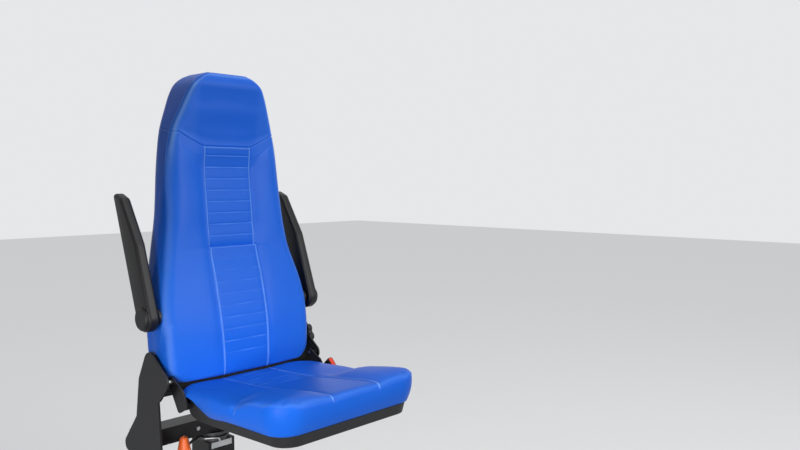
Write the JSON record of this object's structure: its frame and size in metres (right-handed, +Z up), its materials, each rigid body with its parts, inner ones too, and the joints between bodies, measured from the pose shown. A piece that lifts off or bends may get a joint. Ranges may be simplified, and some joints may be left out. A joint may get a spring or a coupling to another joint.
{
  "type": "vehicle attendant seat",
  "caption": "Tip-up vehicle seat with integral head cushion, reclining pleated back, fold-up armrests and a swivelling column on a floor plate.",
  "frame": {"origin": "centre of the four floor bolts, on the underside of the floor plate", "axes": "+Z up; the seat faces -Y; the sitter's left is +X"},
  "size_m": [0.611, 0.737, 1.342],
  "materials": {
    "blue_vinyl": "satin",
    "black_plastic": "matte",
    "black_foam": "matte",
    "black_steel": "satin",
    "bare_metal": "satin",
    "red_plastic": "gloss",
    "orange_plastic": "satin"
  },
  "bodies": {
    "base": {"base_plate": "black_steel", "column": "black_steel", "blank_plate": "bare_metal", "turntable_lower": "bare_metal"},
    "carrier": {"turntable_upper": "bare_metal", "carrier_beam": "black_steel", "beam_bolt_left": "bare_metal", "beam_bolt_right": "bare_metal", "cheek_left": "black_steel", "cheek_right": "black_steel", "cross_tube": "black_steel", "cheek_cover_left": "black_plastic", "cheek_cover_right": "black_plastic", "hinge_pin_left": "bare_metal", "hinge_pin_right": "bare_metal", "recline_knob": "black_plastic", "buckle_stalk": "black_steel", "buckle": "black_plastic", "buckle_button": "red_plastic", "swivel_lever": "black_steel", "lever_grip": "orange_plastic", "latch_wire": "bare_metal"},
    "cushion": {"cushion_pan": "black_plastic", "seat_cushion": "blue_vinyl", "hinge_ear_left": "black_steel", "hinge_ear_right": "black_steel"},
    "backrest": {"back_shell": "black_plastic", "back_cushion": "blue_vinyl", "recline_pivot_left": "bare_metal", "recline_pivot_right": "bare_metal", "arm_pivot_left": "bare_metal", "arm_pivot_right": "bare_metal"},
    "arm_left": {"armrest_left": "black_foam", "arm_cap_left": "black_plastic"},
    "arm_right": {"armrest_right": "black_foam", "arm_cap_right": "black_plastic"}
  },
  "joints": [
    {"name": "swivel", "type": "hinge", "parent": "base", "child": "carrier", "pos_m": [0, 0.147, 0.24], "axis": [0, 0, 1], "range_deg": [-90, 90]},
    {"name": "tip_up", "type": "hinge", "parent": "carrier", "child": "cushion", "pos_m": [0, -0.034, 0.472], "axis": [-1, 0, 0], "range_deg": [0, 90]},
    {"name": "recline", "type": "hinge", "parent": "carrier", "child": "backrest", "pos_m": [0, 0.038, 0.514], "axis": [-1, 0, 0], "range_deg": [0, 20]},
    {"name": "arm_left_fold", "type": "hinge", "parent": "backrest", "child": "arm_left", "pos_m": [0.2825, 0.022, 0.645], "axis": [1, 0, 0], "range_deg": [0, 110]},
    {"name": "arm_right_fold", "type": "hinge", "parent": "backrest", "child": "arm_right", "pos_m": [-0.2825, 0.022, 0.645], "axis": [1, 0, 0], "range_deg": [0, 110]}
  ]
}
